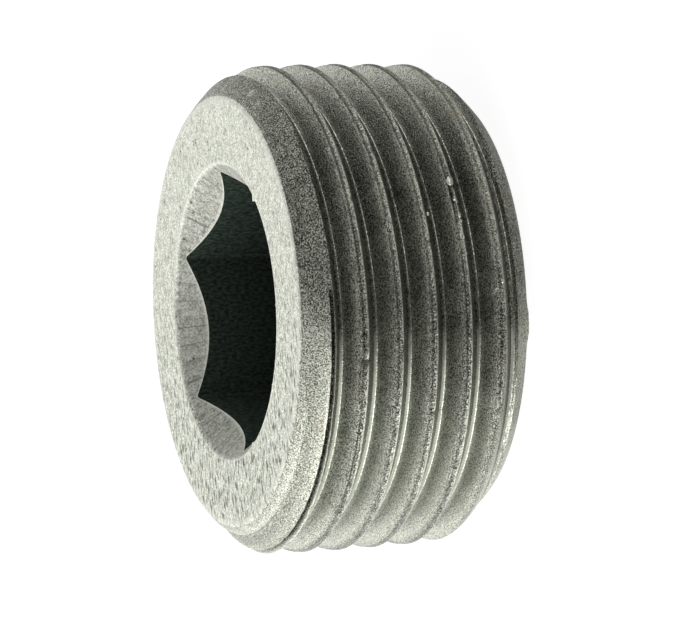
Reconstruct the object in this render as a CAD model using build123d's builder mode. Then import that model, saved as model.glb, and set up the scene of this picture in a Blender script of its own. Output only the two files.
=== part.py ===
from build123d import *

import os
from math import atan, ceil, cos, degrees, radians, tan

# Hex socket screw plug with an external taper thread, M20 x 1.5 keg, 10 mm long.
# It stands on its small end. The hexagon socket opens upward and Z is its axis.
# Lengths are in millimetres and angles in degrees.

# Body
plug_length = 10.0
thread_size = 20.0  # crest diameter at the gauge plane
gauge_height = 7.5  # the gauge plane's height above the small end
thread_taper = 1 / 16  # growth of the diameter with height
front_face_diameter = 17.5
back_face_diameter = 16.7
lead_angle = 45.0  # slope of the leads at both ends, from the axis
front_edge_radius = 0.25
back_edge_radius = 0.15

# Thread, right-handed with a single start
thread_pitch = 1.5
thread_angle = 60.0
crest_flat = 0.25
root_flat = 0.23
root_height = 1.28  # where the lowest whole root crosses the +X side

# Socket
across_flats = 10.0
socket_depth = 5.5  # full depth of the hexagon
pilot_diameter = 9.9
pilot_point_angle = 120.0
countersink_diameter = 12.15
countersink_angle = 90.0

# Thread cutting: the bar is longer than the plug, and the tool starts and ends in it
tool_overcut = 0.05  # how far the tool's flanks run on past the crests
tool_shank = 0.4  # how far the tool stands out of the crests
bar_margin = 2 * thread_pitch

# Worked-out sizes
taper_angle = degrees(atan(thread_taper / 2))
radius_growth = thread_taper / 2
small_crest_radius = thread_size / 2 - gauge_height * radius_growth
lead_growth = tan(radians(lead_angle))
back_lead = (small_crest_radius - back_face_diameter / 2) / (lead_growth - radius_growth)
large_crest_radius = small_crest_radius + plug_length * radius_growth
front_lead = (large_crest_radius - front_face_diameter / 2) / (lead_growth + radius_growth)
flank_slope = tan(radians(thread_angle / 2))
thread_depth = (thread_pitch - crest_flat - root_flat) / 2 / flank_slope


def crest_radius(height):
    return small_crest_radius + height * radius_growth


turns_below = ceil(root_height / thread_pitch) + 1
turns_above = ceil((plug_length - root_height) / thread_pitch) + 1
tool_start = root_height - turns_below * thread_pitch
tool_travel = (turns_below + turns_above) * thread_pitch
tool_tip_radius = crest_radius(tool_start) - thread_depth
flank_height = thread_depth + tool_overcut
tool_half_width = root_flat / 2 + flank_height * flank_slope
shank_height = thread_depth + tool_shank
bar_bottom = tool_start - bar_margin
bar_top = tool_start + tool_travel + bar_margin

with BuildPart() as plug:
    # A bar with the taper of the crests
    with BuildSketch(Plane.XZ):
        with BuildLine():
            Polyline(
                (0, bar_bottom),
                (crest_radius(bar_bottom), bar_bottom),
                (crest_radius(bar_top), bar_top),
                (0, bar_top),
                close=True,
            )
        make_face()
    revolve(axis=Axis.Z)

    # One groove of trapezoid section, wound up the taper
    with BuildLine() as tool_path:
        Helix(
            pitch=thread_pitch / cos(radians(taper_angle)),
            height=tool_travel,
            radius=tool_tip_radius,
            center=(0, 0, tool_start),
            cone_angle=taper_angle,
        )
    with BuildSketch(Plane.XZ):
        with Locations((tool_tip_radius, tool_start)):
            Polygon(
                (0, -root_flat / 2),
                (flank_height, -tool_half_width),
                (shank_height, -tool_half_width),
                (shank_height, tool_half_width),
                (flank_height, tool_half_width),
                (0, root_flat / 2),
                align=None,
            )
    sweep(path=tool_path.wire(), is_frenet=True, mode=Mode.SUBTRACT)

    # Faced to length, with a lead and a broken edge at each end
    with BuildSketch(Plane.XZ) as turned_section:
        with BuildLine():
            Polyline(
                (0, 0),
                (back_face_diameter / 2, 0),
                (crest_radius(back_lead), back_lead),
                (crest_radius(plug_length - front_lead), plug_length - front_lead),
                (front_face_diameter / 2, plug_length),
                (0, plug_length),
                close=True,
            )
        make_face()
        rim_corners = turned_section.vertices().filter_by(lambda corner: corner.X > 0).sort_by(Axis.Y)
        fillet(rim_corners[0], back_edge_radius)
        fillet(rim_corners[-1], front_edge_radius)
    revolve(axis=Axis.Z, mode=Mode.INTERSECT)

    # Socket: a drilled pilot, the broached hexagon and its countersink
    with Locations((0, 0, plug_length - socket_depth)):
        Cone(
            bottom_radius=0,
            top_radius=pilot_diameter / 2,
            height=pilot_diameter / 2 / tan(radians(pilot_point_angle / 2)),
            align=(Align.CENTER, Align.CENTER, Align.MAX),
            mode=Mode.SUBTRACT,
        )
    with BuildSketch(Plane.XY.offset(plug_length)):
        RegularPolygon(radius=across_flats / 2, side_count=6, major_radius=False)
    extrude(amount=-socket_depth, mode=Mode.SUBTRACT)
    with Locations((0, 0, plug_length)):
        Cone(
            bottom_radius=0,
            top_radius=countersink_diameter / 2,
            height=countersink_diameter / 2 / tan(radians(countersink_angle / 2)),
            align=(Align.CENTER, Align.CENTER, Align.MAX),
            mode=Mode.SUBTRACT,
        )

plug.part.label = "plug_body"
print("plug_body", plug.part.volume, plug.part.is_valid, len(plug.part.solids()))

os.makedirs("parts", exist_ok=True)
export_step(plug.part, "parts/plug_body.step")
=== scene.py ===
import math

import bmesh
import bpy
from mathutils import Matrix, Quaternion, Vector, noise


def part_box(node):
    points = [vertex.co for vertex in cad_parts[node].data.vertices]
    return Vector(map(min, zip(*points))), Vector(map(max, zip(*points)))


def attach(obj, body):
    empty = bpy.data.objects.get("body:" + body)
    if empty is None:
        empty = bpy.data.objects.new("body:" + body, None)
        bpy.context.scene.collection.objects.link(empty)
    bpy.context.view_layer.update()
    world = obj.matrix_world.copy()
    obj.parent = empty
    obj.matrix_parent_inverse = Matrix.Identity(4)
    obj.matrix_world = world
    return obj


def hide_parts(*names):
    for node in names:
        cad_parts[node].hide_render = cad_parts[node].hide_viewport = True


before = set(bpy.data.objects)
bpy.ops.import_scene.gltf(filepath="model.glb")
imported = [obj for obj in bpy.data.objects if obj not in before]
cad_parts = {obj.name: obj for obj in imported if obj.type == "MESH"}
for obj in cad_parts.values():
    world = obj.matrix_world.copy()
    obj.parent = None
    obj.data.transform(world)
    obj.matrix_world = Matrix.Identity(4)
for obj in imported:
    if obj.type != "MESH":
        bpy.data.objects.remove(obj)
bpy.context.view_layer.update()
print("frame loaded")

mm = 0.001  # the frame is in metres; sizes below are in millimetres, but for the stage's
fullTurn = 2 * math.pi
plugLow, plugHigh = (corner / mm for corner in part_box("plug_body"))
plugLength = plugHigh.z - plugLow.z

plugBody = {
    "threadSize": 20.0,  # crest diameter at the gauge plane
    "gaugeHeight": 7.5,
    "taper": 1 / 16,
    "faceDiameter": 17.5,
    "backDiameter": 16.7,
    "faceEdgeRadius": 0.4,
    "backEdgeRadius": 0.15,
    "frontShoulder": 0.5,  # how softly the crests turn into the leads
    "backShoulder": 0.2,
    "frontCrown": 0.1,  # how far the last crests fall short of the taper
    "frontCrownFrom": (5, 8.2),  # heights between which they do
    "backCrown": 0.055,
    "backCrownFrom": (4.5, 1.5),
    "leadBlend": 0.08,  # how softly the flanks run out in the leads
    "sharpAngle": 34,  # edges that turn more than this stay crisp
}

thread = {
    "pitch": 1.5,
    "crestFlat": 0.25,
    "flankAngle": 30.0,
    "rootFlat": 0.17,
    "rootCornerRadius": 0.05,
    "frontCrestRadius": 0.14,  # each crest is rolled over towards the face
    "backCrestRadius": 0.05,
    "rootHeight": 1.28,  # lowest whole root on the +X side
    "turnsBelow": 2,
    "turns": 9,
    "columns": 420,
    "flankRows": 4,
    "crestRows": 2,
    "spare": 0.5,  # thread past the two ends, which is cut off unworn
}

socket = {
    "acrossFlats": 10.0,
    "cornerRadius": 0.2,
    "depth": 5.5,
    "pilotDiameter": 9.9,
    "pilotAngle": 120.0,
    "rimDiameter": 12.15,
    "rimRadius": 0.06,
}

wear = {
    # across a crest, places are from its middle: below zero is towards the back end
    "crestDepths": (0.12, 0.02),  # depths under the blank where a crest ends and is whole
    "rootDepths": (0.1, 0.3),  # and where a root begins and is whole
    "frontLead": (8.4, 8.75),  # heights where the crests begin to be lead, and are all lead
    "backLead": (1.65, 1.3),
    "edgePlace": 0.13,  # the two edges of a crest
    "frontEdgeWidth": 0.1,
    "backEdgeWidth": 0.05,
    "rippleSize": 0.28,
    "rippleHeight": 0.007,
    "nickSize": 0.4,
    "nickDepth": 0.1,
    "nickLevels": (0.42, 0.75),  # noise levels where a nick begins and is whole
    "nickShift": (7, 3, 5),  # another part of the noise than the ripple's
    "furrowPlace": 0.02,  # rolled crests are dished between their two edges
    "furrowWidth": 0.11,
    "furrowDepth": 0.035,
    "lipWidth": 0.07,  # the back edge stands a little proud
    "lipHeight": 0.02,
    "knockInside": 8,  # knocks move only what is further out from the axis than this
    # knocks and burrs: angle, height, reach, lift, shine, dirt
    "knocks": [
        (-68.3, 3.03, 0.2, -0.12, 0, 1),
        (-72.6, 3.0, 0.18, -0.1, 0, 0.9),
        (-76.2, 3.0, 0.16, -0.08, 0, 0.8),
        (-109.8, 7.48, 0.22, -0.10, 0.0, 0.6),
        (-123.7, 4.4, 0.20, -0.09, 0.0, 0.7),
        (-125.5, 3.75, 0.14, -0.06, 0.0, 0.7),
        (-145.2, 2.88, 0.12, -0.08, 0.0, 1.0),
        (-126.5, 1.64, 0.14, -0.07, 0.0, 0.8),
        (-106.6, 9.12, 0.12, 0.05, 1.0, 0.0),
        (-42.4, 9.95, 0.14, 0.06, 1.0, 0.0),
        (-25.0, 9.5, 0.22, 0.05, 0.8, 0.0),
        (-31.5, 9.6, 0.2, 0.04, 0.6, 0.3),
        (-17.0, 9.35, 0.2, -0.05, 0.2, 0.6),
        (-134.4, 8.3, 0.16, 0.05, 0.9, 0.0),
        (-144.0, 8.25, 0.14, 0.05, 0.9, 0.0),
    ],
    # specks of metal torn up along a crest: angle, height, radius
    "flecks": [
        (-67.1, 3.2, 0.17),
        (-71.8, 3.16, 0.08),
        (-72.6, 3.12, 0.06),
        (-76.2, 3.1, 0.09),
        (-77.6, 3.06, 0.05),
        (-81.5, 3.06, 0.05),
        (-85.5, 3.04, 0.04),
        (-75.6, 4.46, 0.07),
        (-92.5, 1.56, 0.07),
    ],
    "fleckSunk": 0.2,  # as shares of its radius, like the next two
    "fleckRoughness": 0.3,
    "fleckRoughSize": 0.8,
    "fleckStretch": (0.9, 1.4, 0.9),  # outwards, round the plug, along it
}

folding = {
    # folds left by rolling along the middle of a crest: first and last turn, depth
    "folds": [
        (4.25, 4.742, 0.24),  # the one long open fold
        (3.59, 3.64, 0.05),
        (3.755, 3.79, 0.05),
        (0.71, 0.765, 0.06),
        (0.785, 0.835, 0.1),
    ],
    "fade": 0.018,  # turns over which a fold opens and closes
    "raggedness": (0.8, 0.5, 60),  # depth share, noise share, noise cells a turn
    "width": 0.11,
    "blackDepth": 0.1,  # from this depth a fold is painted black inside: painted shade
    "frontShine": 0.3,  # share of its shine that the front edge keeps beside a fold
    "lipDepths": (0.1, 0.2),  # depths of fold between which its back lip rises
    "lipPlace": -0.14,
    "lipWidth": 0.06,
    "lipHeight": 0.04,
    "lipShine": 0.9,
    "drift": -0.24,  # how far the open fold strays to the back edge of its crest
    "driftStarts": (4.48, 4.73),  # turns
    "driftEnds": (4.8, 4.735),
    "backReach": 0.32,  # how far from the crest's middle the drift is felt
    "frontReach": 0.6,
}

lapping = {
    # beside the open fold the metal has lapped over the start of the next root
    "starts": (4.2, 4.3),  # turns
    "ends": (4.735, 4.68),
    "hollowPlace": 0.54,
    "hollowWidth": 0.24,
    "hollowDepth": 0.045,
    # painted shade in the lapped hollow
    "hollowPaintedShade": 0.3,
    "lipPlace": 0.2,
    "lipWidth": 0.17,
    "lipHeight": 0.03,
    "lipShine": 0.2,
    "speckleSize": 0.16,
    "speckleLevels": (-0.1, 0.4),
}

# painted light on the plug's -X side, painted shade towards its +X side and on its -X crests:
# each pair below that is called a side gives the X, in millimetres, where a mark begins and where
# it is whole
rubbingAndPaintedLight = {
    "leadSide": (0.0, -3.6),
    # painted light on the leads of the -X side
    "leadPaintedLight": 0.45,
    "leadRipple": 0.2,
    "crestSide": (1.5, -2.0),
    "backEdgeShine": 0.9,  # painted highlight and wear on the back edges; the front edges are too round to catch much
    "edgeRipple": 0.3,
    "nickDulls": 0.7,
    "rootEdgePlace": 0.66,  # a painted highlight: the bright line beside each root
    "rootEdgeWidth": 0.055,
    "burnishedFrom": (0.652, 0.69),
    "wholeSide": (-3.5, -8.5),
    "wholePaintedLight": 0.35,  # painted light: at the far -X side even the flanks are painted paler
}

oilAndPaintedShade = {
    # how black each place is, with oil and with painted shade, from 0 to 1
    "nick": 0.5,
    # painted shade on the leads of the +X side
    "lead": 0.5,
    "leadRipple": 0.2,
    # painted shade on the back flanks, and on the front flanks towards the roots
    "backFlankPaintedShade": 0.8,
    "backFlankFrom": (0.14, 0.24),  # distances from the crest's middle
    "frontFlankPaintedShade": 0.34,
    "frontFlankFrom": (0.14, 0.66),
    "unshadedSide": (-2.0, -7.0),
    "farSide": (2.0, 8.0),  # the painted shade also thins out on the far +X side, but less
    "farLessShaded": 0.6,
    "shadePatch": (4.2, 3.2, 0.38),  # a patch of deeper painted shade: X of its middle, reach, share
    # painted shade in the dish of each crest
    "furrow": 0.05,
    "furrowWidth": 0.12,
    "furrowRipple": 0.3,
    "paintedShadeOnCrests": 0.56,  # painted shade on the crests of the -X side
    # painted shade in the roots, except on the far -X side
    "root": 0.8,
    "rootShadeSide": (-2.6, -1.9),
}


def ease(value, start, end):
    share = min(max((value - start) / (end - start), 0), 1)
    return share * share * (3 - 2 * share)


def bell(distance, reach):
    share = min(abs(distance) / reach, 1)
    return (1 - share * share) ** 2


def softMin(first, second, blend):
    overlap = max(blend - abs(first - second), 0) / blend
    return min(first, second) - overlap * overlap * blend / 4


def crestRadius(height):
    return (plugBody["threadSize"] + (height - plugBody["gaugeHeight"]) * plugBody["taper"]) / 2


def blankRadius(height):
    # the outside of the plug with no thread in it
    frontCrown = plugBody["frontCrown"] * ease(height, *plugBody["frontCrownFrom"])
    crown = frontCrown + plugBody["backCrown"] * ease(height, *plugBody["backCrownFrom"])
    frontLead = plugBody["faceDiameter"] / 2 + plugLength - height
    backLead = plugBody["backDiameter"] / 2 + height
    shouldered = softMin(crestRadius(height) - crown, frontLead, plugBody["frontShoulder"])
    return softMin(shouldered, backLead, plugBody["backShoulder"])


def threadPlace(point):
    # turns along the thread, and millimetres across it from the middle of the crest
    angle = math.atan2(point.y, point.x) / fullTurn
    pitches = (point.z - thread["rootHeight"]) / thread["pitch"] - angle
    whole = math.floor(pitches)
    return whole + angle, (pitches - whole - 0.5) * thread["pitch"]


def threadSection(mesh):
    # one pitch, from crest to crest, on a straight bar; the taper comes later
    crest = plugBody["threadSize"] / 2
    pitch = thread["pitch"]
    halfFlat, halfRoot = thread["crestFlat"] / 2, thread["rootFlat"] / 2
    flank = math.radians(thread["flankAngle"])
    root = crest - (pitch / 2 - halfFlat - halfRoot) / math.tan(flank)
    start = thread["rootHeight"] - (thread["turnsBelow"] + 0.5) * pitch
    firstHalf = [(crest, 0), (crest, halfFlat), (root, pitch / 2 - halfRoot)]
    outline = firstHalf + [(radius, pitch - height) for radius, height in reversed(firstHalf)]
    points = [mesh.verts.new((radius, 0, start + height)) for radius, height in outline]
    for pair in zip(points, points[1:]):
        mesh.edges.new(pair)
    turnLength = math.tan((math.pi / 2 - flank) / 2)  # a corner's tangent, for a radius of 1
    rounded = [
        (points[2:4], thread["rootCornerRadius"], 2),
        (points[1:2], thread["frontCrestRadius"], 3),
        (points[4:5], thread["backCrestRadius"], 2),
    ]
    for corners, radius, segments in rounded:
        bmesh.ops.bevel(
            mesh,
            geom=corners,
            offset=radius * turnLength,
            offset_type="OFFSET",
            segments=segments,
            profile=0.5,
            affect="VERTICES",
            material=-1,
        )
    flanks = [edge for edge in mesh.edges if edge.calc_length() > thread["crestFlat"]]
    bmesh.ops.subdivide_edges(mesh, edges=flanks, cuts=thread["flankRows"])
    flats = [edge for edge in mesh.edges if min(vert.co.x for vert in edge.verts) > crest - 1e-4]
    bmesh.ops.subdivide_edges(mesh, edges=flats, cuts=thread["crestRows"])


def windThread(mesh):
    threadSection(mesh)
    pitch, columns = thread["pitch"], thread["columns"]
    bmesh.ops.spin(
        mesh,
        geom=mesh.verts[:] + mesh.edges[:],
        cent=(0, 0, 0),
        axis=(0, 0, 1),
        dvec=(0, 0, pitch / columns),
        angle=fullTurn,
        steps=columns,
    )
    firstTurn = mesh.verts[:] + mesh.edges[:] + mesh.faces[:]
    for turn in range(1, thread["turns"]):
        copied = bmesh.ops.duplicate(mesh, geom=firstTurn)["geom"]
        raised = [part for part in copied if isinstance(part, bmesh.types.BMVert)]
        bmesh.ops.translate(mesh, verts=raised, vec=(0, 0, pitch * turn))
    bmesh.ops.remove_doubles(mesh, verts=mesh.verts[:], dist=0.001)


attributes = ("shine", "dirtAndPaintedShade", "burnish")  # rubbed edges with painted highlights and light, oil with painted shade, smooth rolled roots


def foldDepth(along):
    fade = folding["fade"]
    level, swing, noiseCells = folding["raggedness"]
    depth = 0
    for start, end, deepest in folding["folds"]:
        if start - fade < along < end + fade:
            ragged = level + swing * noise.noise(Vector((along * noiseCells, 0, 0)))
            opening = ease(along, start - fade, start + fade)
            closing = ease(along, end + fade, end - fade)
            depth = max(depth, deepest * min(ragged, 1) * opening * closing)
    return depth


def driftFold(along, across):
    # moves the rows of the crest sideways with the open fold
    drift = folding["drift"] * ease(along, *folding["driftStarts"])
    drift *= ease(along, *folding["driftEnds"])
    reach = folding["backReach"] if across < 0 else folding["frontReach"]
    return across + drift * max(1 - abs(across) / reach, 0)


# rubbed metal, with painted highlights on the back edges of the crests and beside the roots, and
# painted light on the -X side
def shineAndPaintedLightAt(x, across, edge, onLead, paintedRootHighlight, ripple, nick):
    # painted highlight and wear on the back edges of the crests
    edgeWearAndHighlight = rubbingAndPaintedLight["backEdgeShine"] if across < 0 else 0.0
    uneven = rubbingAndPaintedLight["edgeRipple"] * (1 - ease(x, *rubbingAndPaintedLight["crestSide"])) * ripple
    onEdge = edge * (edgeWearAndHighlight + uneven) * (1 - rubbingAndPaintedLight["nickDulls"] * nick)
    leadPaintedLight = rubbingAndPaintedLight["leadPaintedLight"] + rubbingAndPaintedLight["leadRipple"] * ripple
    paintedLeadLight = onLead * ease(x, *rubbingAndPaintedLight["leadSide"]) * leadPaintedLight
    # painted light on the far -X side
    paintedSideLight = rubbingAndPaintedLight["wholePaintedLight"] * ease(x, *rubbingAndPaintedLight["wholeSide"])
    return max(onEdge, paintedLeadLight, paintedRootHighlight, paintedSideLight)


# painted shade on the flanks: the back flanks below the crest, the front flanks darker towards the
# root, less towards -X and far +X, more in one patch
def paintedFlankShade(x, across):
    if across < 0:
        return oilAndPaintedShade["backFlankPaintedShade"] * ease(-across, *oilAndPaintedShade["backFlankFrom"])
    lessShaded = max(ease(x, *oilAndPaintedShade["unshadedSide"]), oilAndPaintedShade["farLessShaded"] * ease(x, *oilAndPaintedShade["farSide"]))
    middle, reach, share = oilAndPaintedShade["shadePatch"]
    film = oilAndPaintedShade["frontFlankPaintedShade"] * (1 - lessShaded) + share * bell(x - middle, reach)
    return film * ease(across, *oilAndPaintedShade["frontFlankFrom"])


# painted shade in the dish of each crest and on the crests of the -X side
def paintedCrestShade(x, across, edge, ripple):
    inFurrow = bell(across, oilAndPaintedShade["furrowWidth"]) * (oilAndPaintedShade["furrow"] + oilAndPaintedShade["furrowRipple"] * ripple)
    brightEdge = edge if across < 0 else 0
    return inFurrow + oilAndPaintedShade["paintedShadeOnCrests"] * ease(x, *rubbingAndPaintedLight["crestSide"]) * (1 - brightEdge)


def shapeThread(mesh):
    # taper, leads, wear, painted light and painted shade in one pass, with the attributes that the
    # finishes read
    shine, dirtAndPaintedShade, burnish = (mesh.verts.layers.float[name] for name in attributes)
    straight = plugBody["threadSize"] / 2
    halfFlat, slope = thread["crestFlat"] / 2, math.tan(math.radians(thread["flankAngle"]))
    for vert in mesh.verts:
        radius, height = vert.co.xy.length, vert.co.z
        if not -thread["spare"] < height < plugLength + thread["spare"]:
            continue
        along, across = threadPlace(vert.co)
        tapered = radius - straight + crestRadius(height)
        drifted = driftFold(along, across)
        if drifted != across:
            height += drifted - across
            vert.co.z = height
            onFlank = max(abs(drifted) - halfFlat, 0) / slope
            tapered = min(tapered, crestRadius(height) - onFlank)
        blank = blankRadius(height)
        blend = plugBody["leadBlend"]
        worn = softMin(tapered, blank + blend / 4, blend)  # the blend takes a quarter back off
        onCrest = ease(blank - worn, *wear["crestDepths"])
        point = Vector((vert.co.x, vert.co.y, height))
        ripple = noise.noise(point / wear["rippleSize"])
        nickNoise = noise.noise(point / wear["nickSize"] + Vector(wear["nickShift"]))
        nick = ease(nickNoise, *wear["nickLevels"])
        edgeWidth = wear["frontEdgeWidth"] if across > 0 else wear["backEdgeWidth"]
        edge = bell(abs(across) - wear["edgePlace"], edgeWidth) * onCrest
        worn += wear["rippleHeight"] * ripple - wear["nickDepth"] * nick * edge
        onEnds = max(ease(height, *wear["frontLead"]), ease(height, *wear["backLead"]))
        onLead = onCrest * onEnds
        furrow = bell(across - wear["furrowPlace"], wear["furrowWidth"])
        worn -= wear["furrowDepth"] * furrow * onCrest * (1 - onLead)
        lip = bell(across + wear["edgePlace"], wear["lipWidth"])
        worn += wear["lipHeight"] * lip * onCrest * (1 - onLead)
        edge *= 1 - onLead
        inRoot = ease(blank - worn, *wear["rootDepths"])
        # a painted highlight along each root
        paintedRootHighlight = bell(across - rubbingAndPaintedLight["rootEdgePlace"], rubbingAndPaintedLight["rootEdgeWidth"]) * inRoot
        vert[shine] = shineAndPaintedLightAt(vert.co.x, across, edge, onLead, paintedRootHighlight, ripple, nick)
        vert[burnish] = ease(abs(across), *rubbingAndPaintedLight["burnishedFrom"]) * inRoot
        # painted shade on the flanks and crests
        onFlank = paintedFlankShade(vert.co.x, across) * (1 - vert[burnish]) * (1 - onCrest)
        onTop = paintedCrestShade(vert.co.x, across, edge, ripple) * (onCrest * (1 - onLead))
        # painted shade on the leads of the +X side
        shadedSide = 1 - ease(vert.co.x, *rubbingAndPaintedLight["leadSide"])
        paintedLeadShade = onLead * shadedSide * (oilAndPaintedShade["lead"] + oilAndPaintedShade["leadRipple"] * ripple)
        # painted shade in the roots
        paintedRootShade = oilAndPaintedShade["root"] * vert[burnish] * ease(vert.co.x, *oilAndPaintedShade["rootShadeSide"]) * (1 - paintedRootHighlight)
        vert[dirtAndPaintedShade] = max(oilAndPaintedShade["nick"] * nick * edge, onFlank, onTop, paintedLeadShade, paintedRootShade)
        fold = foldDepth(along)
        if fold:
            groove = bell(across, folding["width"])
            worn -= fold * groove
            # painted shade: the fold is painted black, deeper folds more
            vert[dirtAndPaintedShade] = max(vert[dirtAndPaintedShade], groove * min(1, fold / folding["blackDepth"]))
            backLip = bell(across - folding["lipPlace"], folding["lipWidth"])
            backLip *= ease(fold, *folding["lipDepths"])
            beside = folding["frontShine"] if drifted > 0 else 1
            vert[shine] = max(vert[shine] * (1 - groove) * beside, folding["lipShine"] * backLip)
            vert[dirtAndPaintedShade] *= 1 - backLip
            worn += folding["lipHeight"] * backLip
        lap = ease(along, *lapping["ends"]) * ease(along, *lapping["starts"])
        if lap and across > 0:
            hollow = lap * bell(across - lapping["hollowPlace"], lapping["hollowWidth"])
            worn -= lapping["hollowDepth"] * hollow
            # painted shade in the hollow
            vert[dirtAndPaintedShade] = max(vert[dirtAndPaintedShade], lapping["hollowPaintedShade"] * hollow)
            lapLip = bell(across - lapping["lipPlace"], lapping["lipWidth"]) * lap
            speckle = noise.noise(point / lapping["speckleSize"])
            worn += lapping["lipHeight"] * lapLip * speckle
            lapShine = lapLip * ease(speckle, *lapping["speckleLevels"]) * lapping["lipShine"]
            vert[shine] = max(vert[shine], lapShine)
        vert.co.xy *= worn / radius


def knock(mesh):
    shine, dirtAndPaintedShade = mesh.verts.layers.float["shine"], mesh.verts.layers.float["dirtAndPaintedShade"]
    for angle, height, reach, lift, shining, dirty in wear["knocks"]:
        outward = Vector((math.cos(math.radians(angle)), math.sin(math.radians(angle)), 0))
        side = Vector((-outward.y, outward.x, 0))
        for vert in mesh.verts:
            if abs(vert.co.z - height) > reach or vert.co.dot(outward) < wear["knockInside"]:
                continue
            away = math.hypot(vert.co.z - height, vert.co.dot(side))
            if away < reach:
                amount = bell(away, reach)
                vert.co += outward * lift * amount
                vert[shine] = max(vert[shine] * (1 - amount * dirty), amount * shining)
                vert[dirtAndPaintedShade] = max(vert[dirtAndPaintedShade] * (1 - amount * shining), amount * dirty)


def addFlecks(mesh):
    shine = mesh.verts.layers.float["shine"]
    stretched = Matrix.Diagonal((*wear["fleckStretch"], 1))
    for angle, height, size in wear["flecks"]:
        turn = math.radians(angle)
        radius = crestRadius(height) - wear["fleckSunk"] * size
        centre = Matrix.Translation((radius * math.cos(turn), radius * math.sin(turn), height))
        place = centre @ Matrix.Rotation(turn, 4, "Z") @ stretched
        fleck = bmesh.ops.create_icosphere(mesh, subdivisions=2, radius=size, matrix=place)
        for vert in fleck["verts"]:
            vert[shine] = 1
            rough = noise.noise(vert.co / (wear["fleckRoughSize"] * size))
            vert.co.z += wear["fleckRoughness"] * size * rough


def arc(centre, radius, first, last, steps):
    # rows of (radius, height) round a corner, angles from the radial direction
    turns = [math.radians(first + (last - first) * step / steps) for step in range(steps + 1)]
    return [
        (centre[0] + radius * math.cos(turn), centre[1] + radius * math.sin(turn)) for turn in turns
    ]


def hexRadius(angle):
    apothem, corner = socket["acrossFlats"] / 2, socket["cornerRadius"]
    sixth = math.radians(30)
    away = abs((angle + sixth) % (2 * sixth) - sixth)  # angle from the nearest corner
    flat = apothem / math.cos(sixth - away)
    arcCentre = (apothem - corner) / math.cos(sixth)
    if away > math.atan2(corner / 2, arcCentre + corner * math.cos(sixth)):
        return flat
    return arcCentre * math.cos(away) + math.sqrt(corner**2 - (arcCentre * math.sin(away)) ** 2)


rolled, faced, broached = range(3)  # the three finishes, by material slot


def growRow(mesh, loop, place, finish, shining=0.0):
    shine = mesh.verts.layers.float["shine"]
    grown = bmesh.ops.extrude_edge_only(mesh, edges=loop)["geom"]
    for part in grown:
        if isinstance(part, bmesh.types.BMVert):
            angle = math.atan2(part.co.y, part.co.x)
            radius, height = place(angle)
            part.co = (radius * math.cos(angle), radius * math.sin(angle), height)
            part[shine] = shining
        elif isinstance(part, bmesh.types.BMFace):
            part.material_index = finish
    return [edge for edge in grown if isinstance(edge, bmesh.types.BMEdge)]


def growRows(mesh, loop, rows, finish, shining=0.0):
    for radius, height in rows:
        loop = growRow(mesh, loop, lambda angle: (radius, height), finish, shining)
    return loop


ends = {
    # in millimetres, but for the angle, the numbers of rows, the shines and the shares
    "slope": 45.0,  # of the leads and the countersink, from the axis
    "cutBack": 0.3,  # the thread is cut this far inside each end
    "weld": 0.02,  # crowded points on the cut are merged
    "near": 1e-3,  # an open edge this close to the cut lies on it
    "frontEdgeSteps": 4,
    "backEdgeSteps": 3,
    "rimSteps": 3,
    "frontEdgeShine": 0.45,
    "leadEdgeShine": 0.1,
    "backEdgeShine": 0.5,
    "rimShine": 0.6,
    "hexagonShine": 0.8,  # on the edge between countersink and hexagon
    "faceRows": 7,
    "edgeRow": 0.1,  # one row close inside each rounded edge keeps the flats flat
    "rimRow": 0.07,
    "coneRow": 0.05,
    "coneRows": 7,
    "coneCrowding": 0.8,
    "wallShares": [0.02, 0.1, 0.25, 0.4, 0.55, 0.7, 0.85, 1],
    "pilotShares": [1, 0.8, 0.6, 0.4, 0.2],
    "flatShares": [0.93, 0.82, 0.68, 0.52, 0.36, 0.2],
    "poleRadius": 0.02,  # the last row, which is merged into one point
}


def cutEnd(mesh, height, side):
    cut = bmesh.ops.bisect_plane(
        mesh,
        geom=mesh.verts[:] + mesh.edges[:] + mesh.faces[:],
        dist=1e-5,
        plane_co=(0, 0, height),
        plane_no=(0, 0, side),
        clear_outer=True,
    )
    rim = [part for part in cut["geom_cut"] if isinstance(part, bmesh.types.BMVert)]
    bmesh.ops.remove_doubles(mesh, verts=rim, dist=ends["weld"])
    return [
        edge
        for edge in mesh.edges
        if edge.is_boundary and all(abs(vert.co.z - height) < ends["near"] for vert in edge.verts)
    ]


def closeLoop(mesh, loop, height, finish):
    last = growRow(mesh, loop, lambda angle: (ends["poleRadius"], height), finish)
    verts = {vert for edge in last for vert in edge.verts}
    bmesh.ops.pointmerge(mesh, verts=list(verts), merge_co=(0, 0, height))


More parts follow.
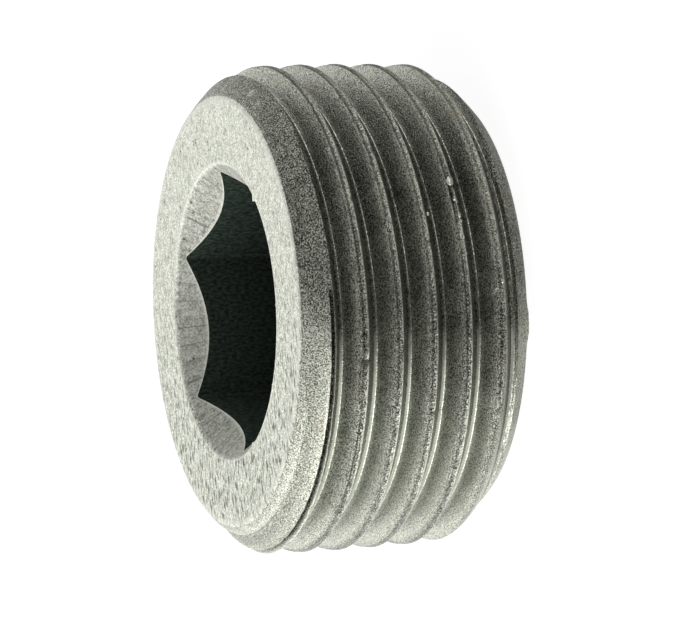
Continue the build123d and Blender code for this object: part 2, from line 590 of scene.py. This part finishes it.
def makeFront(mesh):
    slope = ends["slope"]
    tangent = math.tan(math.radians(slope / 2))
    # lead and face
    faceRadius, edge = plugBody["faceDiameter"] / 2, plugBody["faceEdgeRadius"]
    loop = cutEnd(mesh, plugLength - ends["cutBack"], 1)
    outerCentre = (faceRadius - edge * tangent, plugLength - edge)
    outerArc = arc(outerCentre, edge, slope, 90, ends["frontEdgeSteps"])
    loop = growRows(mesh, loop, outerArc[:2], rolled, ends["leadEdgeShine"])
    loop = growRows(mesh, loop, outerArc[2:], faced, ends["frontEdgeShine"])
    rimRadius, rimEdge = socket["rimDiameter"] / 2, socket["rimRadius"]
    innerFace = rimRadius + rimEdge * tangent
    outerFace = outerArc[-1][0]
    faceWidth = innerFace - outerFace
    faceRows = ends["faceRows"]
    faceRadii = [outerFace - ends["edgeRow"]]
    faceRadii += [outerFace + faceWidth * step / faceRows for step in range(1, faceRows)]
    faceRadii += [innerFace + ends["rimRow"]]
    loop = growRows(mesh, loop, [(radius, plugLength) for radius in faceRadii], faced)
    # the countersink runs down to where it meets the hexagon
    innerCentre = (innerFace, plugLength - rimEdge)
    innerArc = arc(innerCentre, rimEdge, 90, 90 + slope, ends["rimSteps"])
    loop = growRows(mesh, loop, innerArc, faced, ends["rimShine"])
    startRadius, startHeight = (value - ends["coneRow"] for value in innerArc[-1])
    loop = growRows(mesh, loop, [(startRadius, startHeight)], faced)
    coneRows = ends["coneRows"]
    for step in range(1, coneRows + 1):
        share = (step / coneRows) ** ends["coneCrowding"]

        def onCone(angle, share=share):
            radius = startRadius + (hexRadius(angle) - startRadius) * share
            return radius, startHeight - (startRadius - radius)

        loop = growRow(mesh, loop, onCone, faced, ends["hexagonShine"] if share == 1 else 0.0)
    # the hexagon's walls
    floorHeight = plugLength - socket["depth"]
    for share in ends["wallShares"]:

        def onWall(angle, share=share):
            radius = hexRadius(angle)
            top = startHeight - (startRadius - radius)
            return radius, top + (floorHeight - top) * share

        loop = growRow(mesh, loop, onWall, broached)
    # the drill point of the pilot hole
    pilotRadius = socket["pilotDiameter"] / 2
    pilotSlope = math.tan(math.radians(socket["pilotAngle"] / 2))
    tipHeight = floorHeight - pilotRadius / pilotSlope
    pilotRows = [
        (pilotRadius * share, tipHeight + pilotRadius * share / pilotSlope)
        for share in ends["pilotShares"]
    ]
    loop = growRows(mesh, loop, pilotRows, broached)
    closeLoop(mesh, loop, tipHeight, broached)


def makeBack(mesh):
    slope = ends["slope"]
    tangent = math.tan(math.radians(slope / 2))
    backRadius, edge = plugBody["backDiameter"] / 2, plugBody["backEdgeRadius"]
    loop = cutEnd(mesh, ends["cutBack"], -1)
    outerCentre = (backRadius - edge * tangent, edge)
    outerArc = arc(outerCentre, edge, -slope, -90, ends["backEdgeSteps"])
    loop = growRows(mesh, loop, outerArc, rolled, ends["backEdgeShine"])
    flatRows = [(outerArc[-1][0] * share, 0) for share in ends["flatShares"]]
    loop = growRows(mesh, loop, flatRows, faced)
    closeLoop(mesh, loop, 0, faced)


burrs = {
    # slivers on the two rims: angle, half width in degrees, reach inwards or outwards
    "socketRim": [
        (-48.0, 1.6, 0.2),
        (-161.0, 1.2, 0.12),
        (-95.0, 0.8, 0.06),
        (-127.0, 0.7, 0.05),
    ],
    "backRim": (-104.0, 7.5, 0.3),
    "depth": 0.3,  # only points this close to an end move
    "socketBand": (-0.2, 0.03),  # and this close to the rim, inside and outside it
    "socketFade": 0.15,
    "backBand": 0.2,
    "backHeights": (0.28, 0.1),  # where the sliver begins and is whole
    "raggedness": (0.7, 0.5, 0.3),  # reach share, noise share, noise size
}


def raiseBurrs(mesh):
    shine = mesh.verts.layers.float["shine"]
    rimRadius, backRadius = socket["rimDiameter"] / 2, plugBody["backDiameter"] / 2
    inside, outside = burrs["socketBand"]
    backAngle, backWidth, backReach = burrs["backRim"]
    level, swing, noiseSize = burrs["raggedness"]
    for vert in mesh.verts:
        radius, height = vert.co.xy.length, vert.co.z
        angle = math.degrees(math.atan2(vert.co.y, vert.co.x))
        nearRim = rimRadius + inside < radius < rimRadius + outside
        if height > plugLength - burrs["depth"] and nearRim:
            for burrAngle, width, reach in burrs["socketRim"]:
                amount = bell(angle - burrAngle, width)
                amount *= bell(radius - rimRadius, burrs["socketFade"])
                vert.co.xy *= 1 - reach * amount / radius
        if height < burrs["depth"] and radius > backRadius - burrs["backBand"]:
            amount = bell(angle - backAngle, backWidth)
            amount *= level + swing * noise.noise(vert.co / noiseSize)
            rise = ease(height, *burrs["backHeights"])
            vert.co.xy *= 1 + backReach * amount * rise / radius
            vert[shine] = max(vert[shine], amount)


def addObject(name, mesh):
    data = bpy.data.meshes.new(name)
    mesh.to_mesh(data)
    mesh.free()
    made = bpy.data.objects.new(name, data)
    bpy.context.scene.collection.objects.link(made)
    return made


def makePlug():
    mesh = bmesh.new()
    for name in attributes:
        mesh.verts.layers.float.new(name)
    windThread(mesh)
    print("thread wound:", len(mesh.faces), "faces")
    shapeThread(mesh)
    makeFront(mesh)
    makeBack(mesh)
    knock(mesh)
    raiseBurrs(mesh)
    addFlecks(mesh)
    bmesh.ops.recalc_face_normals(mesh, faces=mesh.faces[:])
    bmesh.ops.scale(mesh, vec=(mm, mm, mm), verts=mesh.verts[:])
    made = addObject("plug", mesh)
    for polygon in made.data.polygons:
        polygon.use_smooth = True
    made.data.set_sharp_from_angle(angle=math.radians(plugBody["sharpAngle"]))
    return made


plug = makePlug()
triangles = sum(len(polygon.vertices) - 2 for polygon in plug.data.polygons)
print("plug made:", len(plug.data.vertices), "vertices,", triangles, "triangles")


def toLinear(colour):
    # the standard sRGB curve
    linear = []
    for place in (0, 2, 4):
        value = int(colour[place : place + 2], 16) / 255
        linear.append(value / 12.92 if value <= 0.04045 else ((value + 0.055) / 1.055) ** 2.4)
    return linear + [1]


def addNode(tree, kind, settings=None, inputs=None):
    node = tree.nodes.new(kind)
    for name, value in (settings or {}).items():
        setattr(node, name, value)
    for name, value in (inputs or {}).items():
        if isinstance(value, bpy.types.NodeSocket):
            tree.links.new(value, node.inputs[name])
        else:
            node.inputs[name].default_value = value
    return node


# settings that many of the nodes share
ofColours = {"data_type": "RGBA"}
multiply = {"operation": "MULTIPLY"}
multiplyAdd = {"operation": "MULTIPLY_ADD"}
takeLarger = {"operation": "MAXIMUM"}
smoothly = {"interpolation_type": "SMOOTHSTEP"}


def newMaterial(name):
    material = bpy.data.materials.new(name)
    material.use_nodes = True
    tree = material.node_tree
    tree.nodes.clear()
    return material, tree, addNode(tree, "ShaderNodeTexCoord").outputs["Object"]


def addMetal(tree, colour, rough, height, depth, strength=1.0):
    # bare metal over the whole surface, with the height's relief this many millimetres deep
    bump = addNode(
        tree,
        "ShaderNodeBump",
        inputs={"Strength": strength, "Distance": depth * mm, "Height": height.outputs[0]},
    )
    shader = addNode(
        tree,
        "ShaderNodeBsdfPrincipled",
        inputs={
            "Base Color": colour.outputs["Result"],
            "Metallic": 1.0,
            "Roughness": rough.outputs[0],
            "Normal": bump.outputs[0],
        },
    )
    addNode(tree, "ShaderNodeOutputMaterial", inputs={"Surface": shader.outputs[0]})


def cells(size):
    return 1 / (size * mm)  # a pattern's scale for a feature of this many millimetres


# what ends in Span is set on a Map Range: the levels of a pattern that count, and what
# they turn into

# plain carbon steel, thread rolled and left oily: dark grey, an even fine grain
# like frost, paler where the crests have rubbed and where highlights are painted, darker with
# painted shade, black in the folds as painted shade
rolledFinish = {
    "steel": "d6d8ca",
    "darkSteel": "4c4f45",
    # pale rubbed metal, also the colour of the painted highlights and painted light
    "rubbed": "eceee0",
    "burnished": "b6baac",
    # black of the oil, also the colour of the painted shade
    "oilAndShadeBlack": "1d1f1b",
    "rust": "8d7763",
    "grainSize": 0.06,  # the real grain is finer; drawn coarse enough to show
    "grainSpan": {"From Min": 0.34, "From Max": 0.66},
    "grainHeight": 0.03,
    "blotchSize": 1.3,
    "blotchSpan": {"From Min": 0.3, "From Max": 0.7, "To Min": 0.85, "To Max": 1.12},
    "rustSize": 1.6,
    "rustSpan": {"From Min": 0.6, "From Max": 0.75, "To Max": 0.45},
    "rubbedSpan": {"To Min": 0.45},  # the grain breaks up the rubbed metal and the painted highlights
    "dirtSpan": {"To Min": 1.5, "To Max": 0.45},  # and holds the oil and the painted shade in its hollows
    "burnishedShare": 0.85,
    "roughSpan": {"From Min": 0.3, "From Max": 0.7, "To Min": 0.4, "To Max": 0.52},
    "burnishedRoughness": -0.16,  # added where the roots are rolled smooth
    "rubbedRoughness": -0.15,
    "bumpSpan": {"To Min": 1.0, "To Max": 0.3},  # the smooth roots have less grain
}


def makeRolled():
    finish = rolledFinish
    material, tree, place = newMaterial("rolledSteel")
    grain = addNode(
        tree,
        "ShaderNodeTexNoise",
        inputs={
            "Vector": place,
            "Scale": cells(finish["grainSize"]),
            "Detail": 1.0,
            "Roughness": 0.5,
        },
    )
    blotch = addNode(
        tree,
        "ShaderNodeTexNoise",
        inputs={
            "Vector": place,
            "Scale": cells(finish["blotchSize"]),
            "Detail": 3.0,
            "Roughness": 0.6,
        },
    )
    grainAmount = addNode(
        tree, "ShaderNodeMapRange", inputs={"Value": grain.outputs[0], **finish["grainSpan"]}
    )
    steel = addNode(
        tree,
        "ShaderNodeMix",
        ofColours,
        {
            "Factor": grainAmount.outputs[0],
            "A": toLinear(finish["darkSteel"]),
            "B": toLinear(finish["steel"]),
        },
    )
    blotchAmount = addNode(
        tree, "ShaderNodeMapRange", inputs={"Value": blotch.outputs[0], **finish["blotchSpan"]}
    )
    blotched = addNode(
        tree,
        "ShaderNodeVectorMath",
        {"operation": "SCALE"},
        {0: steel.outputs["Result"], "Scale": blotchAmount.outputs[0]},
    )
    rustNoise = addNode(
        tree,
        "ShaderNodeTexNoise",
        inputs={"Vector": place, "Scale": cells(finish["rustSize"]), "Detail": 4.0},
    )
    rustAmount = addNode(
        tree, "ShaderNodeMapRange", inputs={"Value": rustNoise.outputs[0], **finish["rustSpan"]}
    )
    rusted = addNode(
        tree,
        "ShaderNodeMix",
        ofColours,
        {"Factor": rustAmount.outputs[0], "A": blotched.outputs[0], "B": toLinear(finish["rust"])},
    )
    # the shine attribute: rubbed metal, painted highlights and painted light
    shine = addNode(tree, "ShaderNodeAttribute", {"attribute_name": "shine"})
    shineBreak = addNode(
        tree, "ShaderNodeMapRange", inputs={"Value": grainAmount.outputs[0], **finish["rubbedSpan"]}
    )
    shineAmount = addNode(
        tree, "ShaderNodeMath", multiply, {0: shine.outputs["Fac"], 1: shineBreak.outputs[0]}
    )
    rubbed = addNode(
        tree,
        "ShaderNodeMix",
        ofColours,
        {
            "Factor": shineAmount.outputs[0],
            "A": rusted.outputs["Result"],
            "B": toLinear(finish["rubbed"]),
        },
    )
    burnish = addNode(tree, "ShaderNodeAttribute", {"attribute_name": "burnish"})
    burnishAmount = addNode(
        tree, "ShaderNodeMath", multiply, {0: burnish.outputs["Fac"], 1: finish["burnishedShare"]}
    )
    smoothRoot = addNode(
        tree,
        "ShaderNodeMix",
        ofColours,
        {
            "Factor": burnishAmount.outputs[0],
            "A": rubbed.outputs["Result"],
            "B": toLinear(finish["burnished"]),
        },
    )
    # oil and painted shade, held in the hollows of the grain
    dirtAndPaintedShade = addNode(tree, "ShaderNodeAttribute", {"attribute_name": "dirtAndPaintedShade"})
    dirtBreak = addNode(
        tree, "ShaderNodeMapRange", inputs={"Value": grainAmount.outputs[0], **finish["dirtSpan"]}
    )
    dirtAmount = addNode(
        tree,
        "ShaderNodeMath",
        {"operation": "MULTIPLY", "use_clamp": True},
        {0: dirtAndPaintedShade.outputs["Fac"], 1: dirtBreak.outputs[0]},
    )
    dirty = addNode(
        tree,
        "ShaderNodeMix",
        ofColours,
        {
            "Factor": dirtAmount.outputs[0],
            "A": smoothRoot.outputs["Result"],
            "B": toLinear(finish["oilAndShadeBlack"]),
        },
    )
    patchy = addNode(
        tree, "ShaderNodeMapRange", inputs={"Value": blotch.outputs[0], **finish["roughSpan"]}
    )
    smoother = addNode(
        tree,
        "ShaderNodeMath",
        multiplyAdd,
        {0: burnish.outputs["Fac"], 1: finish["burnishedRoughness"], 2: patchy.outputs[0]},
    )
    rough = addNode(
        tree,
        "ShaderNodeMath",
        multiplyAdd,
        {0: shine.outputs["Fac"], 1: finish["rubbedRoughness"], 2: smoother.outputs[0]},
    )
    frosted = addNode(
        tree, "ShaderNodeMapRange", inputs={"Value": burnish.outputs["Fac"], **finish["bumpSpan"]}
    )
    addMetal(tree, dirty, rough, grain, finish["grainHeight"], frosted.outputs[0])
    return material


# the same steel, faced on a lathe and tumbled: paler and more even, mottled and
# lightly pitted, with a thin bright line where each edge has been rubbed
facedFinish = {
    "steel": "e9ebe0",
    "mottle": "cdcfc4",
    "pit": "74766b",
    "streak": "6e7267",
    "rubbed": "e3e4dc",
    "mottleSize": 0.24,
    "mottleSpan": {"From Min": 0.3, "From Max": 0.6},
    "pitSize": 0.26,
    "pitSpan": {"From Min": 0.28, "From Max": 0.12},
    "pitGroupSpan": {"From Min": 0.47, "From Max": 0.36},  # only where the mottle is darkest
    "streakSize": 0.13,  # width of a grinding streak
    "streakStretch": (0.28, 1, 1),  # and each is some four times as long, along X
    "streakSpan": {"From Min": 0.52, "From Max": 0.66},
    # the streaks darken the face towards -X: painted shade
    "streakAndShadeSideSpan": {"From Min": 4 * mm, "From Max": -7 * mm, "To Min": 0.2, "To Max": 1.0},
    "faceSkin": (0.15, 0.05),  # this far under the face the streaks begin and are whole
    "grainSize": 0.08,
    "grainSpan": {"From Min": 0.3, "From Max": 0.7, "To Min": 0.62, "To Max": 1.25},
    "grainHeight": 0.012,
    "scratchSize": 0.12,  # spacing round the countersink
    "scratchRadius": 5.5,  # where they have that spacing
    "scratchSpan": {"From Min": 0.52, "From Max": 0.7, "To Max": 0.5},
    "backSpan": {"From Min": 2 * mm, "From Max": 3 * mm},  # no scratches on the back end
    "coneSpan": {"To Min": 1.0, "To Max": 0.66},  # the countersink is darker than the face
    "roughSpan": {"From Min": 0.3, "From Max": 0.7, "To Min": 0.76, "To Max": 0.66},
}


def makeFaced():
    finish = facedFinish
    material, tree, place = newMaterial("facedSteel")
    mottle = addNode(
        tree,
        "ShaderNodeTexNoise",
        inputs={
            "Vector": place,
            "Scale": cells(finish["mottleSize"]),
            "Detail": 2.0,
            "Roughness": 0.6,
        },
    )
    grain = addNode(
        tree,
        "ShaderNodeTexNoise",
        inputs={"Vector": place, "Scale": cells(finish["grainSize"]), "Detail": 1.0},
    )
    mottled = addNode(
        tree, "ShaderNodeMapRange", inputs={"Value": mottle.outputs[0], **finish["mottleSpan"]}
    )
    steel = addNode(
        tree,
        "ShaderNodeMix",
        ofColours,
        {
            "Factor": mottled.outputs[0],
            "A": toLinear(finish["mottle"]),
            "B": toLinear(finish["steel"]),
        },
    )
    pits = addNode(
        tree, "ShaderNodeTexVoronoi", inputs={"Vector": place, "Scale": cells(finish["pitSize"])}
    )
    pitPlaces = addNode(
        tree, "ShaderNodeMapRange", inputs={"Value": pits.outputs["Distance"], **finish["pitSpan"]}
    )
    pitGroups = addNode(
        tree, "ShaderNodeMapRange", inputs={"Value": mottle.outputs[0], **finish["pitGroupSpan"]}
    )
    pitAmount = addNode(
        tree, "ShaderNodeMath", multiply, {0: pitPlaces.outputs[0], 1: pitGroups.outputs[0]}
    )
    pitted = addNode(
        tree,
        "ShaderNodeMix",
        ofColours,
        {
            "Factor": pitAmount.outputs[0],
            "A": steel.outputs["Result"],
            "B": toLinear(finish["pit"]),
        },
    )
    # grinding streaks along X, deeper towards the -X side of the face, which is painted shade on
    # that side
    stretched = addNode(
        tree, "ShaderNodeVectorMath", multiply, {0: place, 1: finish["streakStretch"]}
    )
    streak = addNode(
        tree,
        "ShaderNodeTexNoise",
        inputs={
            "Vector": stretched.outputs[0],
            "Scale": cells(finish["streakSize"]),
            "Detail": 1.0,
        },
    )
    split = addNode(tree, "ShaderNodeSeparateXYZ", inputs={0: place})
    streakAndShadeSide = addNode(
        tree, "ShaderNodeMapRange", inputs={"Value": split.outputs[0], **finish["streakAndShadeSideSpan"]}
    )
    skinBelow, skinAbove = ((plugLength - depth) * mm for depth in finish["faceSkin"])
    onFace = addNode(
        tree,
        "ShaderNodeMapRange",
        inputs={"Value": split.outputs[2], "From Min": skinBelow, "From Max": skinAbove},
    )
    streakLimit = addNode(
        tree, "ShaderNodeMath", multiply, {0: streakAndShadeSide.outputs[0], 1: onFace.outputs[0]}
    )
    streakDepth = addNode(
        tree, "ShaderNodeMapRange", inputs={"Value": streak.outputs[0], **finish["streakSpan"]}
    )
    streakAmount = addNode(
        tree, "ShaderNodeMath", multiply, {0: streakDepth.outputs[0], 1: streakLimit.outputs[0]}
    )
    streaked = addNode(
        tree,
        "ShaderNodeMix",
        ofColours,
        {
            "Factor": streakAmount.outputs[0],
            "A": pitted.outputs["Result"],
            "B": toLinear(finish["streak"]),
        },
    )
    # scratches down the slope of the countersink: the pattern only changes round the axis
    flat = addNode(tree, "ShaderNodeVectorMath", multiply, {0: place, 1: (1, 1, 0)})
    around = addNode(tree, "ShaderNodeVectorMath", {"operation": "NORMALIZE"}, {0: flat.outputs[0]})
    scratch = addNode(
        tree,
        "ShaderNodeTexNoise",
        inputs={
            "Vector": around.outputs[0],
            "Scale": finish["scratchRadius"] / finish["scratchSize"],
            "Detail": 2.0,
        },
    )
    scratchDepth = addNode(
        tree, "ShaderNodeMapRange", inputs={"Value": scratch.outputs[0], **finish["scratchSpan"]}
    )
    belowFace = addNode(
        tree,
        "ShaderNodeMapRange",
        inputs={"Value": split.outputs[2], "From Min": skinAbove, "From Max": skinBelow},
    )
    aboveBack = addNode(
        tree, "ShaderNodeMapRange", inputs={"Value": split.outputs[2], **finish["backSpan"]}
    )
    onCone = addNode(
        tree, "ShaderNodeMath", multiply, {0: belowFace.outputs[0], 1: aboveBack.outputs[0]}
    )
    scratchAmount = addNode(
        tree, "ShaderNodeMath", multiply, {0: scratchDepth.outputs[0], 1: onCone.outputs[0]}
    )
    scratched = addNode(
        tree,
        "ShaderNodeMix",
        ofColours,
        {
            "Factor": scratchAmount.outputs[0],
            "A": streaked.outputs["Result"],
            "B": toLinear(finish["pit"]),
        },
    )
    grainLevel = addNode(
        tree, "ShaderNodeMapRange", inputs={"Value": grain.outputs[0], **finish["grainSpan"]}
    )
    coneLevel = addNode(
        tree, "ShaderNodeMapRange", inputs={"Value": onCone.outputs[0], **finish["coneSpan"]}
    )
    level = addNode(
        tree, "ShaderNodeMath", multiply, {0: grainLevel.outputs[0], 1: coneLevel.outputs[0]}
    )
    grained = addNode(
        tree,
        "ShaderNodeVectorMath",
        {"operation": "SCALE"},
        {0: scratched.outputs["Result"], "Scale": level.outputs[0]},
    )
    shine = addNode(tree, "ShaderNodeAttribute", {"attribute_name": "shine"})
    rubbed = addNode(
        tree,
        "ShaderNodeMix",
        ofColours,
        {"Factor": shine.outputs["Fac"], "A": grained.outputs[0], "B": toLinear(finish["rubbed"])},
    )
    rough = addNode(
        tree, "ShaderNodeMapRange", inputs={"Value": mottle.outputs[0], **finish["roughSpan"]}
    )
    height = addNode(
        tree,
        "ShaderNodeMath",
        {"operation": "SUBTRACT"},
        {0: grain.outputs[0], 1: pitAmount.outputs[0]},
    )
    addMetal(tree, rubbed, rough, height, finish["grainHeight"])
    return material


# the broached hexagon is nearly black, painted shade inside the socket, with fine
# lines along the stroke
broachedFinish = {
    "scale": "2c362f",
    "line": "5a665d",
    "lineSize": 0.1,
    "lineStretch": (1, 1, 0.5),
    "lineSpan": {"From Min": 0.35, "From Max": 0.75},
    "lineHeight": 0.004,
    "roughSpan": {"To Min": 0.65, "To Max": 0.85},
}


def makeBroached():
    finish = broachedFinish
    material, tree, place = newMaterial("broachedSteel")
    stretched = addNode(
        tree, "ShaderNodeVectorMath", multiply, {0: place, 1: finish["lineStretch"]}
    )
    lines = addNode(
        tree,
        "ShaderNodeTexNoise",
        inputs={"Vector": stretched.outputs[0], "Scale": cells(finish["lineSize"]), "Detail": 2.0},
    )
    lineAmount = addNode(
        tree, "ShaderNodeMapRange", inputs={"Value": lines.outputs[0], **finish["lineSpan"]}
    )
    colour = addNode(
        tree,
        "ShaderNodeMix",
        ofColours,
        {
            "Factor": lineAmount.outputs[0],
            "A": toLinear(finish["scale"]),
            "B": toLinear(finish["line"]),
        },
    )
    rough = addNode(
        tree, "ShaderNodeMapRange", inputs={"Value": lines.outputs[0], **finish["roughSpan"]}
    )
    addMetal(tree, colour, rough, lines, finish["lineHeight"])
    return material


for material in (makeRolled(), makeFaced(), makeBroached()):
    plug.data.materials.append(material)
print("finishes made")

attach(plug, "root")
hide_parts("plug_body")

stage = {
    # in metres
    "floorSize": 0.6,
    "floorHole": 0.00825,  # just inside the plug's flat end
    "floorSides": 96,
    "floorColour": "f2f2f2",
    "floorWhite": 0.9,  # what the camera sees of the floor, before its light is added
    "floorShadow": 0.25,  # share of the lit floor that the camera sees over its white
    "tableAzimuth": 150.0,  # middle of the white table in front of the plug, from +X
    "tableSpan": {"From Min": -0.003, "From Max": 0.006},  # metres towards its middle
    "paintedGlowSpan": {"From Min": 0.014, "From Max": 0.010, "To Max": 0.5},  # a painted pool of light round the plug, half white in reflections
    "sweepAzimuth": 125.0,  # and of the white sweep behind it
    "sweepSpan": {"From Min": 0.05, "From Max": 0.6},
    "sweepTopSpan": {"From Min": 0.85, "From Max": 0.55},
    "dimWorld": 0.2,
}


def whenSeen(tree, pattern):
    # 1 where the camera sees it, and the pattern where a glossy or clear surface shows it
    path = addNode(tree, "ShaderNodeLightPath")
    reflected = addNode(
        tree,
        "ShaderNodeMath",
        takeLarger,
        {0: path.outputs["Is Glossy Ray"], 1: path.outputs["Is Transmission Ray"]},
    )
    shown = addNode(
        tree, "ShaderNodeMath", multiply, {0: reflected.outputs[0], 1: pattern.outputs[0]}
    )
    return addNode(
        tree,
        "ShaderNodeMath",
        takeLarger,
        {0: path.outputs["Is Camera Ray"], 1: shown.outputs[0]},
    )


def flatDirection(azimuth):
    turn = math.radians(azimuth)
    return math.cos(turn), math.sin(turn), 0


def makeFloor():
    mesh = bmesh.new()
    # no floor under the plug, whose flat end would lie in the same plane
    for radius in (stage["floorSize"], stage["floorHole"]):
        bmesh.ops.create_circle(mesh, segments=stage["floorSides"], radius=radius)
    bmesh.ops.bridge_loops(mesh, edges=mesh.edges[:])
    floor = addObject("floor", mesh)
    material, tree, place = newMaterial("whiteSweep")
    towards = addNode(
        tree,
        "ShaderNodeVectorMath",
        {"operation": "DOT_PRODUCT"},
        {0: place, 1: flatDirection(stage["tableAzimuth"])},
    )
    table = addNode(
        tree,
        "ShaderNodeMapRange",
        smoothly,
        {"Value": towards.outputs["Value"], **stage["tableSpan"]},
    )
    away = addNode(tree, "ShaderNodeVectorMath", {"operation": "LENGTH"}, {0: place})
    # the floor round the plug is painted half white in reflections: a painted pool of light
    near = addNode(
        tree, "ShaderNodeMapRange", smoothly, {"Value": away.outputs["Value"], **stage["paintedGlowSpan"]}
    )
    pale = addNode(tree, "ShaderNodeMath", takeLarger, {0: table.outputs[0], 1: near.outputs[0]})
    white = whenSeen(tree, pale)
    glow = addNode(tree, "ShaderNodeMath", multiply, {0: white.outputs[0], 1: stage["floorWhite"]})
    emission = addNode(tree, "ShaderNodeEmission", inputs={"Strength": glow.outputs[0]})
    lit = [value * stage["floorShadow"] for value in toLinear(stage["floorColour"])[:3]] + [1]
    diffuse = addNode(tree, "ShaderNodeBsdfDiffuse", inputs={"Color": lit})
    both = addNode(
        tree, "ShaderNodeAddShader", inputs={0: emission.outputs[0], 1: diffuse.outputs[0]}
    )
    addNode(tree, "ShaderNodeOutputMaterial", inputs={"Surface": both.outputs[0]})
    material.cycles.emission_sampling = "NONE"
    floor.data.materials.append(material)


def makeWorld():
    world = bpy.data.worlds.new("studio")
    bpy.context.scene.world = world
    world.use_nodes = True
    world.cycles.sampling_method = "NONE"
    tree = world.node_tree
    tree.nodes.clear()
    direction = addNode(tree, "ShaderNodeTexCoord").outputs["Generated"]
    towards = addNode(
        tree,
        "ShaderNodeVectorMath",
        {"operation": "DOT_PRODUCT"},
        {0: direction, 1: flatDirection(stage["sweepAzimuth"])},
    )
    split = addNode(tree, "ShaderNodeSeparateXYZ", inputs={0: direction})
    edge = addNode(
        tree,
        "ShaderNodeMapRange",
        smoothly,
        {"Value": towards.outputs["Value"], **stage["sweepSpan"]},
    )
    top = addNode(
        tree, "ShaderNodeMapRange", smoothly, {"Value": split.outputs[2], **stage["sweepTopSpan"]}
    )
    sweep = addNode(tree, "ShaderNodeMath", multiply, {0: edge.outputs[0], 1: top.outputs[0]})
    white = whenSeen(tree, sweep)
    strength = addNode(
        tree, "ShaderNodeMath", takeLarger, {0: white.outputs[0], 1: stage["dimWorld"]}
    )
    background = addNode(
        tree,
        "ShaderNodeBackground",
        inputs={"Color": (1, 1, 1, 1), "Strength": strength.outputs[0]},
    )
    addNode(tree, "ShaderNodeOutputWorld", inputs={"Surface": background.outputs[0]})


lampSize = 40  # all of them are large and soft, and seen under this angle

lamps = {
    # azimuth from +X, height in degrees, strength
    "keyFront": (210, 20, 1.0),
    "keyLow": (180, 10, 1.1),
    "keyHigh": (180, 60, 0.65),
    "backHighLeft": (140, 45, 0.2),
    "backHigh": (90, 60, 0.25),
    "backRight": (60, 20, 0.4),
    "backLeft": (120, 20, 0.3),
    "side": (0, 20, 0.55),
    "fill": (300, 25, 0.5),
    "top": (0, 88, 0.1),
}


def makeLamps():
    for name, (azimuth, height, strength) in lamps.items():
        data = bpy.data.lights.new(name, "SUN")
        data.angle = math.radians(lampSize)
        data.energy = strength
        lamp = bpy.data.objects.new(name, data)
        turn, rise = math.radians(azimuth), math.radians(height)
        flat = math.cos(rise)
        towards = Vector((math.cos(turn) * flat, math.sin(turn) * flat, math.sin(rise)))
        lamp.rotation_mode = "QUATERNION"
        lamp.rotation_quaternion = towards.to_track_quat("Z", "Y")
        bpy.context.scene.collection.objects.link(lamp)


camera = {
    "azimuth": -6.757,
    "elevation": 20.399,
    "roll": -92.52,
    "distance": 603.55,
    "aim": (-0.15, 0.02, 4.83),
    "lens": 773.4,
    "sensor": 36,
}


def makeCamera():
    azimuth, elevation = math.radians(camera["azimuth"]), math.radians(camera["elevation"])
    flat = math.cos(elevation)
    back = Vector((math.sin(azimuth) * flat, -math.cos(azimuth) * flat, math.sin(elevation)))
    data = bpy.data.cameras.new("camera")
    data.lens = camera["lens"]
    data.sensor_width = camera["sensor"]
    made = bpy.data.objects.new("camera", data)
    made.rotation_mode = "QUATERNION"
    made.location = (Vector(camera["aim"]) + back * camera["distance"]) * mm
    roll = Quaternion((0, 0, 1), math.radians(camera["roll"]))
    made.rotation_quaternion = (-back).to_track_quat("-Z", "Y") @ roll
    bpy.context.scene.collection.objects.link(made)
    bpy.context.scene.camera = made


makeFloor()
makeWorld()
makeLamps()
makeCamera()
bpy.context.scene.view_settings.view_transform = "Standard"
print("stage, light and camera placed")
